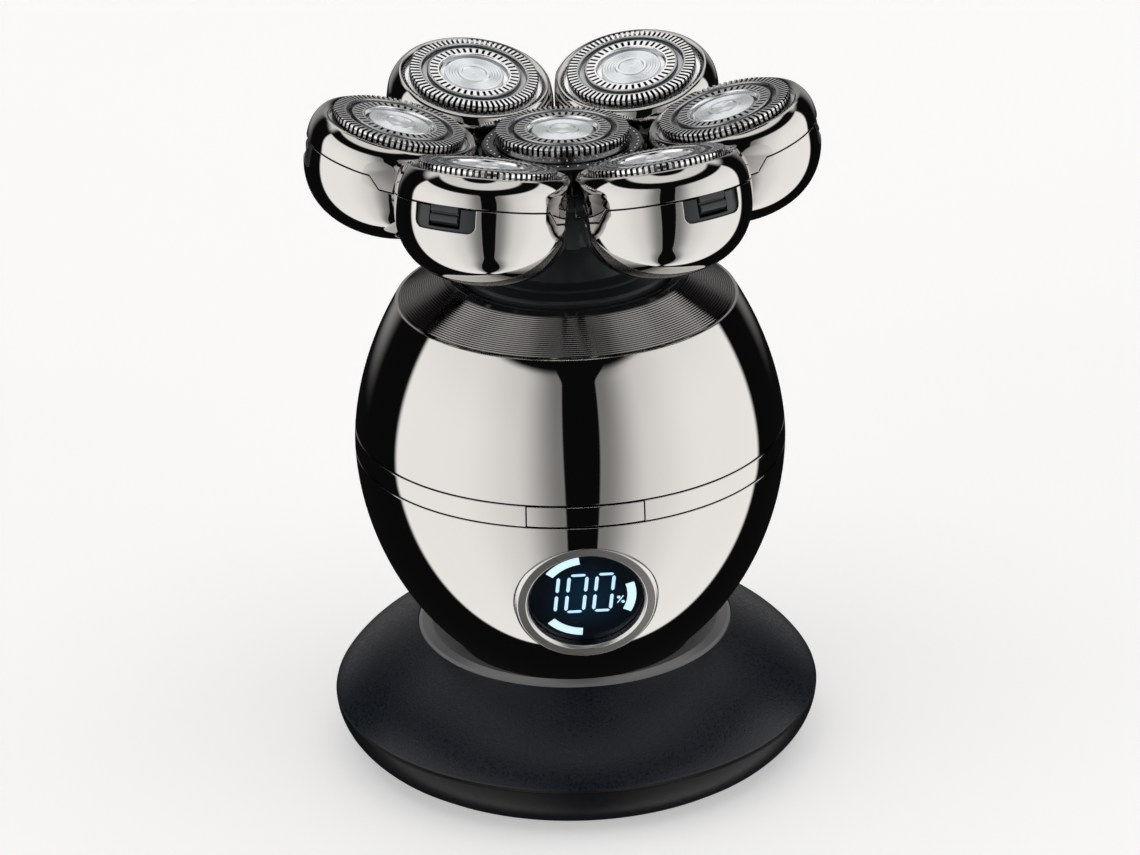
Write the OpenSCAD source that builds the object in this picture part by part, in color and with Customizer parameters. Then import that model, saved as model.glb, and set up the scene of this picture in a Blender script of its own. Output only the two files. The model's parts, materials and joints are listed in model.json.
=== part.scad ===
// Rotary head shaver with seven cutter heads, sitting in a round charging base.
// Frame: millimetres, +Z up, Z axis through the middle of the base and the handset,
// z = 0 on the table, display and button face -Y. Pod 1 points along +X, the rest follow by 60 degrees.

/* [Handset] */
// Widest radius of the ball-shaped handset
body_r = 32.5; // [28:0.1:38]
// Height of the widest line above the table
body_z = 49.2; // [44:0.1:56]
// Height of the upper dome's curve above the widest line
dome_h = 40.74; // [34:0.01:48]
// Height of the lower dome's curve below the widest line
bowl_h = 39.43; // [34:0.01:46]
// Thickness of the plated shells
shell_t = 2.0; // [1.2:0.1:3]
// Radius of the display's bezel
bezel_r = 10.5; // [8:0.05:13]
// Height of the middle of the display
display_z = 34.9; // [30:0.1:42]
// Half the width of the power button
button_w = 8.45; // [5:0.05:12]

/* [Charging base] */
// Widest radius of the base
base_r = 37.4; // [33:0.1:44]
// Height of the seam between its two mouldings
base_seam_z = 8.1; // [6:0.1:11]
// Outer radius of the pale ring round the recess
ring_r = 24.1; // [22:0.1:28]

/* [Head] */
// Distance of each outer cutter's middle from the axis
pod_ring_r = 23.63; // [22:0.01:26]
// Height of an outer cutter's middle
pod_z = 100.3; // [96:0.1:105]
// Inward lean of the outer cutters, degrees
pod_lean = 15; // [8:0.5:20]
// Widest radius of a pod
pod_r = 12.77; // [11.5:0.01:13.5]
// Height of the middle cutter's top
centre_z = 98.05; // [94:0.05:102]
// Radius of a foil guard
foil_r = 9.8; // [8.5:0.1:10.2]
// Slits round the outer track of a foil guard
outer_slits = 72; // [24:4:96]
// Slits round the inner track of a foil guard
inner_slits = 40; // [16:4:60]
// Teeth on the sun gear
sun_teeth = 36; // [36]
// Teeth on each pod's gear
pod_teeth = 23; // [23]

/* [Hidden] */
$fn = 64;
chrome = [0.36, 0.34, 0.33];
black = [0.05, 0.05, 0.055];
slate = [0.16, 0.18, 0.20];
steel = [0.78, 0.79, 0.80];
brass = [0.78, 0.62, 0.30];
white = [0.86, 0.86, 0.84];
board = [0.05, 0.22, 0.12];
gear_m = 0.892;
sun_pr = sun_teeth * gear_m / 2;
pod_pr = pod_teeth * gear_m / 2;
pod_eq = 4.77; // depth of a pod's widest line under its foil's top
floor_z = 12.5; // flat under the handset, resting in the base
seam_lo = 48.7;
seam_hi = 52.1;
collar_z = 72.0;
collar_top = 75.5;
hinge_u = 11.3; // pod lid hinge, out from the pod's axis
hinge_d = 6.7; // and below its foil's top
tilt_x = 13.6; // pod tilt pivot, out from the head's axis
tilt_z = 86.6;

// Radius of a rounded shape whose curve is h high with power n, at a height t from its widest line
function se(rm, t, h, n) = rm * pow(max(0, 1 - pow(min(1, abs(t) / h), n)), 1 / n);
// Handset's radius at height z, shrunk by t
function br(z, t = 0) = z > body_z ? se(body_r - t, z - body_z, dome_h - t, 1.79)
    : se(body_r - t, body_z - z, bowl_h - t, 1.91);
// Pod's radius at depth d under the foil's top, shrunk by t
function pr(d, t = 0) = d < pod_eq ? se(pod_r - t, pod_eq - d, 7.11 - t * 0.7, 2.43)
    : se(pod_r - t, d - pod_eq, 12.27 - t, 2.44);
function rev(a) = [for (i = [len(a) - 1 : -1 : 0]) a[i]];
function bez(a, b, c, n) = [for (i = [0 : n]) let (t = i / n)
    (1 - t) * (1 - t) * a + 2 * t * (1 - t) * b + t * t * c];

// Wall that follows the handset between two heights
module body_wall(z0, z1, n, t0 = 0, t1 = shell_t) {
    zs = [for (i = [0 : n]) z0 + (z1 - z0) * i / n];
    rotate_extrude() polygon(concat([for (z = zs) [br(z, t0), z]], rev([for (z = zs) [br(z, t1), z]])));
}

// ---------- charging base ----------
base_top = bez([36.8, 9.2], [33.4, 14.3], [ring_r + 0.05, 18.65], 10);
module base_cover() {
    color(black) difference() {
        union() {
            rotate_extrude() polygon(concat(
                [[0, 10.7], [12.2, 10.7], [15.6, 13.0], [18.6, 14.7], [24.6, 14.7], [32.2, 11.2], [35.2, 8.25],
                 [base_r - 0.05, 8.25]], base_top,
                [[ring_r + 0.05, 16.6], [18.2, 16.6], [br(15.8) + 0.6, 15.8], [br(14.9) + 0.6, 14.9],
                 [br(14) + 0.6, 14], [br(13.2) + 0.7, 13.2], [11.7, floor_z], [0, floor_z]]));
            for (a = [45 : 90 : 315]) rotate(a) translate([20.5, 0, 3.2]) cylinder(h = 11.6, r = 2.8);
        }
        for (a = [45 : 90 : 315]) rotate(a) translate([20.5, 0, 3]) cylinder(h = 9, r = 0.95);
        for (x = [-4.75, 0, 4.75]) translate([x, 0, 10]) cylinder(h = 4, r = 0.85);
    }
}
module base_bottom() {
    color(black) difference() {
        rotate_extrude() polygon(concat([[0, 0.7], [32.7, 0.7]],
            bez([34.4, 1.9], [37.3, 4.6], [base_r - 0.05, 7.95], 6),
            [[34.0, 7.95], [33.9, 9.2], [32.9, 9.2], [32.9, 5.6], [31.6, 2.5], [0, 2.5]]));
        rotate_extrude() polygon([[24, 0.5], [30, 0.5], [30, 1.5], [24, 1.5]]);
        for (a = [45 : 90 : 315]) rotate(a) translate([20.5, 0, 0.5]) {
            cylinder(h = 3, r = 1.3);
            cylinder(h = 1.1, r = 2.4);
        }
        translate([-4.8, 30, 3.3]) cube([9.6, 9, 3.9]);
    }
}
module recess_ring() {
    color([0.42, 0.42, 0.43]) rotate_extrude() polygon([[18.4, 16.6], [ring_r, 16.6], [ring_r, 18.55],
        [23.6, 18.8], [22.0, 18.8], [20.6, 17.9], [18.4, 16.9]]);
}
module base_weight() {
    color(steel) difference() {
        translate([0, 0, 2.5]) cylinder(h = 3.7, r = 26);
        translate([0, 0, 2]) cylinder(h = 5, r = 9);
        for (a = [45 : 90 : 315]) rotate(a) translate([20.5, 0, 2]) cylinder(h = 5, r = 3.2);
    }
}
module base_board() {
    color(board) difference() {
        union() {
            translate([0, 0, 6.9]) cylinder(h = 1.5, r = 16.5);
            translate([-6.5, 10, 6.9]) cube([13, 22, 1.5]);
        }
        for (x = [-4.75, 0, 4.75]) translate([x, 0, 6]) cylinder(h = 3, r = 0.4);
    }
    color(black) translate([-9, -9.5, 8.4]) cube([7, 5, 1.4]);
    color(black) translate([3, -8.5, 8.4]) cube([4.5, 3, 1]);
    // power inlet
    color(steel) difference() {
        translate([-4.47, 28.6, 3.64]) cube([8.94, 7.3, 3.26]);
        translate([-4.17, 30, 3.94]) cube([8.34, 7, 2.66]);
    }
    color(black) translate([-3.4, 29.8, 4.92]) cube([6.8, 4.8, 0.7]);
}
module charge_pins() {
    color(brass) for (x = [-4.75, 0, 4.75]) translate([x, 0, 8.4]) {
        cylinder(h = 3.4, r = 0.8);
        cylinder(h = 4.5, r = 0.5);
    }
}
module foot_pad() {
    color(black) rotate_extrude() polygon([[24.1, 0], [29.9, 0], [29.9, 1.5], [24.1, 1.5]]);
}
module base_screws() {
    color(steel) for (a = [45 : 90 : 315]) rotate(a) translate([20.5, 0, 0]) difference() {
        union() {
            translate([0, 0, 0.85]) cylinder(h = 0.75, r = 2.2);
            translate([0, 0, 1.6]) cylinder(h = 8, r = 0.9);
        }
        translate([-0.3, -1.4, 0.7]) cube([0.6, 2.8, 0.5]);
        translate([-1.4, -0.3, 0.7]) cube([2.8, 0.6, 0.5]);
    }
}

// ---------- handset ----------
module upper_shell() {
    color(chrome) body_wall(seam_hi + 0.08, collar_z - 0.05, 14);
}
module display_hole(r, from, to) {
    translate([0, -29.96, display_z]) rotate([105, 0, 0]) translate([0, 0, from]) cylinder(h = to - from, r = r);
}
module lower_shell() {
    zs = [for (i = [0 : 16]) floor_z + 0.35 + (seam_lo - 0.08 - floor_z - 0.35) * i / 16];
    color(chrome) difference() {
        rotate_extrude() polygon(concat([[0, floor_z], [10.6, floor_z]], [for (z = zs) [br(z), z]],
            rev([for (z = zs) if (z > 16) [br(z, shell_t), z]]), [[9.6, 14.4], [0, 14.4]]));
        display_hole(bezel_r + 0.05, -4.4, 4);
        rotate_extrude() polygon([[3.9, 12], [5.6, 12], [5.6, 13.9], [3.9, 13.9]]);
        translate([0, 0, 12]) cylinder(h = 1.9, r = 1.9);
    }
}
module band_ring() {
    zs = [for (i = [0 : 4]) seam_lo + 0.08 + (seam_hi - seam_lo - 0.16) * i / 4];
    color(chrome) difference() {
        union() {
            rotate_extrude() polygon(concat([for (z = zs) [br(z), z]], rev([for (z = zs) [br(z, 2.1), z]])));
            rotate_extrude() polygon([[29.1, 46.4], [30.2, 46.4], [30.45, 48.5], [30.45, 49.4], [30.35, 51.2],
                [30.25, 52.3], [29.75, 54.2], [28.9, 54.2]]);
        }
        translate([-button_w - 0.2, -40, 45.5]) cube([2 * button_w + 0.4, 20, 10]);
    }
}
module grooved_collar() {
    n = 20;
    p0 = [25.1, collar_z];
    p1 = [18.3, collar_top];
    q = [-0.06, -0.13];
    color(chrome) rotate_extrude() polygon(concat(
        [for (i = [0 : n - 1]) each [p0 + (p1 - p0) * i / n,
            p0 + (p1 - p0) * (i + 0.5) / n + (i == 0 ? [0, 0] : q)]],
        [p1, [18.3, 73.4], [23.3, 70.6], [23.3, 69.8], [br(69.8, shell_t) - 0.02, 69.8],
         [br(collar_z, shell_t) - 0.15, collar_z - 0.05]]));
}
module coupling_dish() {
    color(black) difference() {
        union() {
            rotate_extrude() polygon([[2.0, 73.0], [18.25, 73.0], [18.25, 75.6], [17.6, 76.0], [16.4, 75.9],
                [15.9, 75.5], [15.9, 74.7], [5.4, 74.7], [5.4, 78.4], [4.9, 78.9], [2.0, 78.9]]);
            for (a = [0 : 90 : 270]) rotate(a) translate([14.2, 0, 69.65]) cylinder(h = 3.4, r = 1.9);
        }
        for (a = [0 : 90 : 270]) rotate(a) translate([14.2, 0, 69.5]) cylinder(h = 3, r = 0.8);
    }
}
module at_display() translate([0, -29.96, display_z]) rotate([105, 0, 0]) children();
module display_bezel() {
    color([0.62, 0.62, 0.61]) at_display() rotate_extrude() polygon([[8.5, -4.3], [bezel_r, -4.3], [bezel_r, -1.35],
        [10.1, -0.85], [8.85, -0.8], [8.5, -1.2]]);
}
module display_glass() {
    color([0.02, 0.03, 0.05]) at_display() translate([0, 0, -2.4]) cylinder(h = 1.1, r = 8.45);
}
module display_module() {
    color([0.03, 0.04, 0.06]) at_display() translate([0, 0, -4.4]) cylinder(h = 1.95, r = 8.4);
    color(board) at_display() translate([0, 0, -5.6]) cylinder(h = 1.1, r = 9.6);
}
module power_button() {
    color(chrome) intersection() {
        union() {
            rotate_extrude() polygon(concat([for (i = [0 : 3]) let (z = seam_lo + 0.2 + 3.0 * i / 3) [br(z), z]],
                [[29.4, seam_hi - 0.2], [29.4, seam_lo + 0.2]]));
            translate([-1.5, -30, 49.1]) cube([3, 2.4, 2.6]);
        }
        translate([-button_w, -40, 45]) cube([2 * button_w, 14, 10]);
    }
}
module main_board() {
    color(board) translate([-11, -21.4, 28.5]) cube([22, 1.5, 24.5]);
    color(black) translate([-6, -19.9, 31]) cube([7, 1.2, 7]);
    color(black) translate([3, -19.9, 32]) cube([4, 1.4, 5]);
    color(white) translate([-5, -19.9, 41]) cube([10, 3.4, 3]);
    color(steel) translate([-2.2, -24.4, 48.2]) cube([4.4, 3, 4.4]);
    color(black) translate([0, -24.4, 50.4]) rotate([90, 0, 0]) cylinder(h = 2.3, r = 1.1);
}
module battery() {
    color([0.10, 0.28, 0.55]) translate([-17, 5, 31]) rotate([0, 90, 0]) cylinder(h = 34, r = 9);
    color(steel) translate([17, 5, 31]) rotate([0, 90, 0]) cylinder(h = 1.1, r = 3);
}
module motor() {
    color(steel) difference() {
        union() {
            translate([0, 0, 43.4]) cylinder(h = 24.6, r = 12);
            translate([0, 0, 68]) cylinder(h = 1.5, r = 3.4);
            translate([0, 0, 42.6]) cylinder(h = 0.8, r = 3.4);
        }
        translate([0, 0, 44]) cylinder(h = 27, r = 1.55);
    }
}
module drive_shaft() {
    color(steel) {
        translate([0, 0, 44.6]) cylinder(h = 34.6, r = 1.5);
        translate([0, 0, 79.2]) cylinder(h = 5.2, r = 2.3, $fn = 6);
    }
}
module chassis() {
    color(black) difference() {
        union() {
            translate([0, 0, 68]) cylinder(h = 1.6, r = 22.6);
            translate([0, 0, 40.6]) cylinder(h = 1.6, r = 16.4);
            for (a = [30, 150, 210, 330]) rotate(a) translate([14.6, 0, 42.2]) cylinder(h = 25.8, r = 1.6);
            // cell cradle
            for (x = [-12, 10]) translate([x, -5.5, 22]) cube([2, 21, 18.6]);
        }
        translate([0, 0, 67]) cylinder(h = 4, r = 3.5);
        translate([0, 0, 40]) cylinder(h = 4, r = 4.5);
        translate([-20, 5, 31]) rotate([0, 90, 0]) cylinder(h = 40, r = 9.05);
        for (a = [0 : 90 : 270]) rotate(a) translate([14.2, 0, 67]) cylinder(h = 4, r = 0.9);
    }
}
module charge_contacts() {
    color(brass) {
        rotate_extrude() polygon([[3.95, 12.9], [5.55, 12.9], [5.55, 13.85], [3.95, 13.85]]);
        translate([0, 0, 12.9]) cylinder(h = 0.95, r = 1.85);
    }
}

// ---------- head ----------
module gear(teeth, m, h) {
    r = teeth * m / 2;
    p = 360 / teeth;
    linear_extrude(height = h) polygon([for (i = [0 : teeth - 1]) each [
        for (k = [[-0.29, -1.2], [-0.11, 0.8], [0.11, 0.8], [0.29, -1.2]])
            (r + k[1] * m) * [cos((i + k[0]) * p), sin((i + k[0]) * p)]]]);
}
module neck_housing() {
    color(slate) difference() {
        union() {
            rotate_extrude() polygon([[4.06, 87.4], [12.4, 87.4], [12.4, 85.8], [8.6, 84.6], [8.5, 82.4],
                [11.5, 78.2], [11.9, 77.95], [13.0, 77.5], [13.3, 77.2], [15.2, 76.75], [15.5, 76.4],
                [15.5, 75.0], [5.9, 75.0], [5.9, 79.4], [4.06, 79.4]]);
            for (a = [30 : 60 : 330]) rotate(a) {
                translate([11, -0.9, 85.8]) cube([6.9, 1.8, 1.6]);
                translate([16.95, -0.9, 87.4]) cube([0.95, 1.8, 2.9]);
            }
            for (a = [0 : 60 : 300]) rotate(a) for (y = [-4.3, 2.7])
                translate([11.2, y, 85.8]) cube([3.4, 1.6, 1.6]);
        }
        for (a = [0 : 60 : 300]) rotate(a) {
            translate([tilt_x, -5, tilt_z]) rotate([-90, 0, 0]) cylinder(h = 10, r = 0.5);
            translate([12.0, -2.6, 85]) cube([4, 5.2, 3]);
        }
    }
}
module gearbox_cover() {
    color(slate) difference() {
        union() {
            translate([0, 0, 90.3]) cylinder(h = 1.2, r = 12.2);
            translate([0, 0, 91.5]) cylinder(h = 1.4, r = 3);
            for (a = [30 : 60 : 330]) rotate(a) translate([11, -0.45, 90.3]) cube([6.9, 0.9, 1.2]);
        }
        translate([0, 0, 89]) cylinder(h = 6, r = 1.28);
    }
}
module centre_cover() {
    color(black) difference() {
        rotate_extrude() polygon([[10.15, 95.9], [11.7, 96.0], [11.9, 95.7], [11.9, 91.5], [10.7, 91.5], [10.7, 94.9],
            [10.15, 94.9]]);
        for (a = [0 : 7.5 : 352.5]) rotate(a) translate([11.2, 0, 95.75]) cylinder(h = 1, r = 0.16);
    }
}
module foil(skirt, flange = 11.1) {
    color(steel) difference() {
        rotate_extrude() polygon([[0, -0.25], [4.35, -0.25], [4.5, -0.4], [4.5, -0.9], [5.2, -0.9], [5.2, -0.12],
            [5.35, 0], [6.95, 0], [7.1, -0.12], [7.1, -0.9], [7.9, -0.9], [7.9, -0.12], [8.05, 0],
            [foil_r - 0.25, 0], [foil_r, -0.25], [foil_r, -skirt], [flange, -skirt], [flange, -skirt - 0.4],
            [foil_r - 0.35, -skirt - 0.4], [foil_r - 0.35, -0.35], [8.2, -0.35], [8.2, -1.2], [6.8, -1.2],
            [6.8, -0.35], [5.5, -0.35], [5.5, -1.2], [0, -1.2]]);
        translate([0, 0, -1.25]) linear_extrude(height = 2) for (i = [0 : outer_slits - 1])
            rotate(i * 360 / outer_slits) translate([8.3, -0.17]) square([3, 0.34]);
        translate([0, 0, -0.8]) linear_extrude(height = 2) for (i = [0 : inner_slits - 1])
            rotate(i * 360 / inner_slits) translate([5.56, -0.17]) square([1.18, 0.34]);
    }
}
module cutter() {
    for (i = [0 : 11]) rotate(i * 30) {
        translate([8.45, -0.3, -2]) cube([0.5, 0.6, 1.53]);
        translate([5.75, -0.3, -2]) cube([0.8, 0.6, 1.53]);
    }
    translate([0, 0, -2.4]) cylinder(h = 0.9, r = 8.55);
}
module centre_foil() translate([0, 0, centre_z]) foil(3.2, 10.55);
module centre_cutter() {
    color(steel) {
        translate([0, 0, centre_z]) cutter();
        translate([0, 0, 89.8]) cylinder(h = 6, r = 1.2);
    }
}
module sun_gear() {
    color(white) difference() {
        union() {
            translate([0, 0, 88]) gear(sun_teeth, gear_m, 1.8);
            translate([0, 0, 79.7]) cylinder(h = 8.4, r = 4);
        }
        translate([0, 0, 79]) cylinder(h = 6.2, r = 2.6, $fn = 6);
    }
}

// ---------- pods: drawn about their own axis, foil's top at 0, outward along +X ----------
module at_pod(i) rotate([0, 0, 60 * (i - 1)]) translate([pod_ring_r, 0, pod_z]) rotate([0, -pod_lean, 0])
    children();
// Everything above the seam, which steps down towards the hub
module above_seam(off) translate([0, 20, 0]) rotate([90, 0, 0]) linear_extrude(height = 40)
    polygon([[20, -5.05 + off], [3.7, -5.05 + off], [1.9, -6.8 + off], [-20, -6.8 + off], [-20, 20], [20, 20]]);
// Flats on the sides towards the neighbours
module side_flats() for (s = [-1, 1]) {
    rotate(s * 112) translate([11.75, -15, -25]) cube([9, 30, 35]);
    rotate(s * 80) translate([12.5, -15, -25]) cube([9, 30, 35]);
}
// Outline of the opening for the hinge, width along Y
module panel(w, top, bottom, r) rotate([90, 0, 90]) linear_extrude(height = 6) {
    translate([-w, bottom + r]) square([2 * w, top - bottom - r]);
    translate([-w + r, bottom]) square([2 * (w - r), r + 1]);
    for (s = [-1, 1]) translate([s * (w - r), bottom + r]) circle(r = r);
}
module bowl() {
    ds = [5, 6, 7, 8, 9, 10, 11, 12, 13, 14, 15, 15.8, 16.4, 16.8];
    es = [15.6, 15.2, 14.6, 13.8, 12.8, 11.6, 10.2, 8.6, 7, 5];
    color(chrome) difference() {
        union() {
            difference() {
                difference() {
                    union() {
                        rotate_extrude() polygon(concat([for (d = ds) [pr(d), -d]], [[0, -17]],
                            [[0, -15.84]], [for (d = es) [pr(d, d > 10 ? 0.85 : 1.2), -d]]));
                        translate([0, 0, -16]) cylinder(h = 5.7, r = 2.6);
                    }
                    side_flats();
                }
                above_seam(-0.07);
                translate([9, 0, 0]) panel(4.65, 1, -8.75, 1.2);
                // way in for the sun gear
                rotate([0, pod_lean, 0]) translate([-pod_ring_r, 0, -pod_z]) translate([10, -7.4, 87.6])
                    cube([7.6, 14.8, 8]);
            }
            // lug and pins that the pod tilts on
            rotate([0, pod_lean, 0]) translate([-pod_ring_r, 0, -pod_z]) {
                translate([tilt_x, -2.4, tilt_z]) rotate([-90, 0, 0]) cylinder(h = 4.8, r = 0.95);
                translate([tilt_x, -2.4, tilt_z - 0.95]) cube([2.7, 4.8, 1.7]);
                translate([tilt_x, -4.2, tilt_z]) rotate([-90, 0, 0]) cylinder(h = 8.4, r = 0.43);
            }
        }
        translate([0, 0, -15.2]) cylinder(h = 6, r = 1.26);
    }
}
module cover() {
    ds = [0.95, 1.4, 2, 2.8, 3.8, 4.77, 5.6, 6.3, 7];
    color(chrome) difference() {
        union() {
            difference() {
                rotate_extrude() polygon(concat([[10.35, -1.3], [10.9, -0.85], [11.3, -0.75]],
                    [for (d = ds) [pr(d), -d]], [[11.5, -7], [11.55, -3.4], [11.2, -2.8], [9.95, -2.8], [9.95, -2.25],
                     [11.2, -2.25], [11.2, -1.75], [10.35, -1.75]]));
                translate([-20, -20, -27]) cube([40, 40, 20.01]);
                difference() {
                    translate([-20, -20, -20]) cube([40, 40, 16]);
                    above_seam(0.07);
                }
                side_flats();
            }
            // hinge knuckle under the rim
            translate([hinge_u - 0.6, -2.1, -hinge_d]) cube([1.55, 4.2, 2.6]);
            translate([hinge_u, -2.1, -hinge_d]) rotate([-90, 0, 0]) cylinder(h = 4.2, r = 1.3);
            translate([hinge_u, -2.9, -hinge_d]) rotate([-90, 0, 0]) cylinder(h = 5.8, r = 0.45);
        }
    }
}
module hinge_block() {
    color(slate) difference() {
        intersection() {
            rotate_extrude() polygon([[10.95, -5.35], [12.3, -5.35], [12.3, -8.2], [12.2, -8.8], [11.25, -8.8],
                [11.25, -7.9], [10.95, -7.8]]);
            translate([9, 0, 0]) panel(4.6, 0, -8.7, 1.15);
        }
        translate([9, -2.4, -8.1]) cube([6, 4.8, 6]);
        translate([hinge_u, -3, -hinge_d]) rotate([-90, 0, 0]) cylinder(h = 6, r = 0.5);
    }
}
module pod_cutter() {
    color(steel) {
        cutter();
        translate([0, 0, -14.6]) cylinder(h = 12.4, r = 1.2);
        difference() {
            translate([0, 0, -9.9]) gear(pod_teeth, gear_m, 1.8);
            translate([0, 0, -11]) cylinder(h = 4, r = 1.1);
        }
    }
}

module bowl_1() at_pod(1) bowl();
module bowl_2() at_pod(2) bowl();
module bowl_3() at_pod(3) bowl();
module bowl_4() at_pod(4) bowl();
module bowl_5() at_pod(5) bowl();
module bowl_6() at_pod(6) bowl();
module cover_1() at_pod(1) cover();
module cover_2() at_pod(2) cover();
module cover_3() at_pod(3) cover();
module cover_4() at_pod(4) cover();
module cover_5() at_pod(5) cover();
module cover_6() at_pod(6) cover();
module foil_1() at_pod(1) foil(1.8);
module foil_2() at_pod(2) foil(1.8);
module foil_3() at_pod(3) foil(1.8);
module foil_4() at_pod(4) foil(1.8);
module foil_5() at_pod(5) foil(1.8);
module foil_6() at_pod(6) foil(1.8);
module hinge_block_1() at_pod(1) hinge_block();
module hinge_block_2() at_pod(2) hinge_block();
module hinge_block_3() at_pod(3) hinge_block();
module hinge_block_4() at_pod(4) hinge_block();
module hinge_block_5() at_pod(5) hinge_block();
module hinge_block_6() at_pod(6) hinge_block();
module cutter_1() at_pod(1) pod_cutter();
module cutter_2() at_pod(2) pod_cutter();
module cutter_3() at_pod(3) pod_cutter();
module cutter_4() at_pod(4) pod_cutter();
module cutter_5() at_pod(5) pod_cutter();
module cutter_6() at_pod(6) pod_cutter();

base_cover();
base_bottom();
recess_ring();
base_weight();
base_board();
charge_pins();
foot_pad();
base_screws();
upper_shell();
lower_shell();
band_ring();
grooved_collar();
coupling_dish();
display_bezel();
display_glass();
display_module();
power_button();
main_board();
battery();
motor();
drive_shaft();
chassis();
charge_contacts();
neck_housing();
gearbox_cover();
centre_cover();
centre_foil();
centre_cutter();
sun_gear();
bowl_1();
bowl_2();
bowl_3();
bowl_4();
bowl_5();
bowl_6();
cover_1();
cover_2();
cover_3();
cover_4();
cover_5();
cover_6();
foil_1();
foil_2();
foil_3();
foil_4();
foil_5();
foil_6();
hinge_block_1();
hinge_block_2();
hinge_block_3();
hinge_block_4();
hinge_block_5();
hinge_block_6();
cutter_1();
cutter_2();
cutter_3();
cutter_4();
cutter_5();
cutter_6();
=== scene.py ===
import json
import math

import bmesh
import bpy
from mathutils import Matrix, Vector


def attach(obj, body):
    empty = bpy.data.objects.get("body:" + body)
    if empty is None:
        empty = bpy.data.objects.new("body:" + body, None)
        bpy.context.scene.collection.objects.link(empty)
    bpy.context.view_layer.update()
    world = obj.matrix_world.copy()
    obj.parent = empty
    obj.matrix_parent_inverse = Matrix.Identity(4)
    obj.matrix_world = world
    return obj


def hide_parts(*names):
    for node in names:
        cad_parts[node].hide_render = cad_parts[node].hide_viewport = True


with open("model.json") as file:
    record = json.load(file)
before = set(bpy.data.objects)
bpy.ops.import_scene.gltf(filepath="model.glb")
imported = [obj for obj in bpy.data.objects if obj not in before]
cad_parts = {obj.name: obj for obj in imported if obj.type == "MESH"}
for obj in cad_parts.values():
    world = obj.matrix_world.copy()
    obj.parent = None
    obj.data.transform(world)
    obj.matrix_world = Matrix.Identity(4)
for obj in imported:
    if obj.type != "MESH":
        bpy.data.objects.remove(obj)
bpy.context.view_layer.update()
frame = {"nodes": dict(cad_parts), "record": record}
MM = 0.001
TAU = 2 * math.pi
BODY_R = 32.5  # handset's widest radius, and its height
WIDEST = 49.2
POD_R = 12.77  # pod's widest radius, and its depth under the foil's top
POD_DEPTH = 4.77


# ---------- curves ----------
def steps(a, b, n):
    return [a + (b - a) * i / n for i in range(n + 1)]


def se(rm, t, h, n):
    return rm * max(0.0, 1 - min(1.0, abs(t) / h) ** n) ** (1 / n)


def br(z, t=0.0):
    """Handset's radius at height z, shrunk by t."""
    if z > WIDEST:
        return se(BODY_R - t, z - WIDEST, 40.74 - t, 1.79)
    return se(BODY_R - t, WIDEST - z, 39.43 - t, 1.91)


def pr(d, t=0.0):
    """Pod's radius at depth d under its foil's top, shrunk by t."""
    if d < POD_DEPTH:
        return se(POD_R - t, POD_DEPTH - d, 7.11 - 0.7 * t, 2.43)
    return se(POD_R - t, d - POD_DEPTH, 12.27 - t, 2.44)


def bez(a, b, c, n):
    """Points on the curve from a to c that b pulls on."""
    return [tuple((1 - t) ** 2 * p + 2 * t * (1 - t) * q + t * t * r for p, q, r in zip(a, b, c))
            for t in steps(0, 1, n)]


def soft(points, r=0.15, k=4, lim=20):
    """Rounds the corners of a closed outline, and keeps the faces beside them flat."""
    out = []
    for i, b in enumerate(points):
        a, c = points[i - 1], points[(i + 1) % len(points)]
        u, v = Vector(a) - Vector(b), Vector(c) - Vector(b)
        if abs(b[0]) < 1e-6 or u.length < 1e-6 or v.length < 1e-6:
            out.append(tuple(b))
            continue
        turn = math.pi - u.angle(v)
        if turn < math.radians(lim):
            out.append(tuple(b))
            continue
        t = min(r * math.tan(min(turn, 2.6) / 2), 0.42 * u.length, 0.42 * v.length)
        u.normalize()
        v.normalize()
        p, q = Vector(b) + u * t, Vector(b) + v * t
        out.append(tuple(p + u * min(0.05, 0.1 * t)))
        out += bez(tuple(p), tuple(b), tuple(q), k)
        out.append(tuple(q + v * min(0.05, 0.1 * t)))
    return out


# ---------- solids, each a list of points and a list of faces ----------
def lathe(outline, angles=None, n=192, arc=None):
    """Turns a closed (radius, height) outline round Z, all the way or over an arc with closed ends."""
    if arc:
        angles = steps(arc[0], arc[1], n)
    elif angles is None:
        angles = [TAU * i / n for i in range(n)]
    m, rows, pts = len(angles), [], []
    for r, z in outline:
        if r < 1e-6:
            rows.append([len(pts)] * m)
            pts.append((0, 0, z))
        else:
            rows.append(list(range(len(pts), len(pts) + m)))
            pts += [(r * math.cos(a), r * math.sin(a), z) for a in angles]
    faces = []
    for i, row in enumerate(rows):
        nxt = rows[(i + 1) % len(rows)]
        if row[0] == row[-1] and nxt[0] == nxt[-1]:
            continue
        for j in range(m - 1 if arc else m):
            k = (j + 1) % m
            q = [row[j], row[k], nxt[k], nxt[j]]
            faces.append([v for s, v in enumerate(q) if v not in q[:s]])
    if arc:
        faces += [[row[0] for row in rows][::-1], [row[-1] for row in rows]]
    return pts, faces


def prism(outline, a, b, place=None):
    """An outline pushed from height a to height b, then placed."""
    n = len(outline)
    pts = [(x, y, a) for x, y in outline] + [(x, y, b) for x, y in outline]
    faces = [list(range(n))[::-1], list(range(n, 2 * n))]
    faces += [[i, (i + 1) % n, n + (i + 1) % n, n + i] for i in range(n)]
    return shift((pts, faces), place) if place else (pts, faces)


def shift(solid, matrix):
    return [tuple(matrix @ Vector(p)) for p in solid[0]], solid[1]


def circle(r, n=48, x=0.0, y=0.0):
    return [(x + r * math.cos(TAU * i / n), y + r * math.sin(TAU * i / n)) for i in range(n)]


def box(x0, y0, z0, x1, y1, z1):
    return prism([(x0, y0), (x1, y0), (x1, y1), (x0, y1)], z0, z1)


def turn(axis, degrees):
    return Matrix.Rotation(math.radians(degrees), 4, axis)


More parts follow.
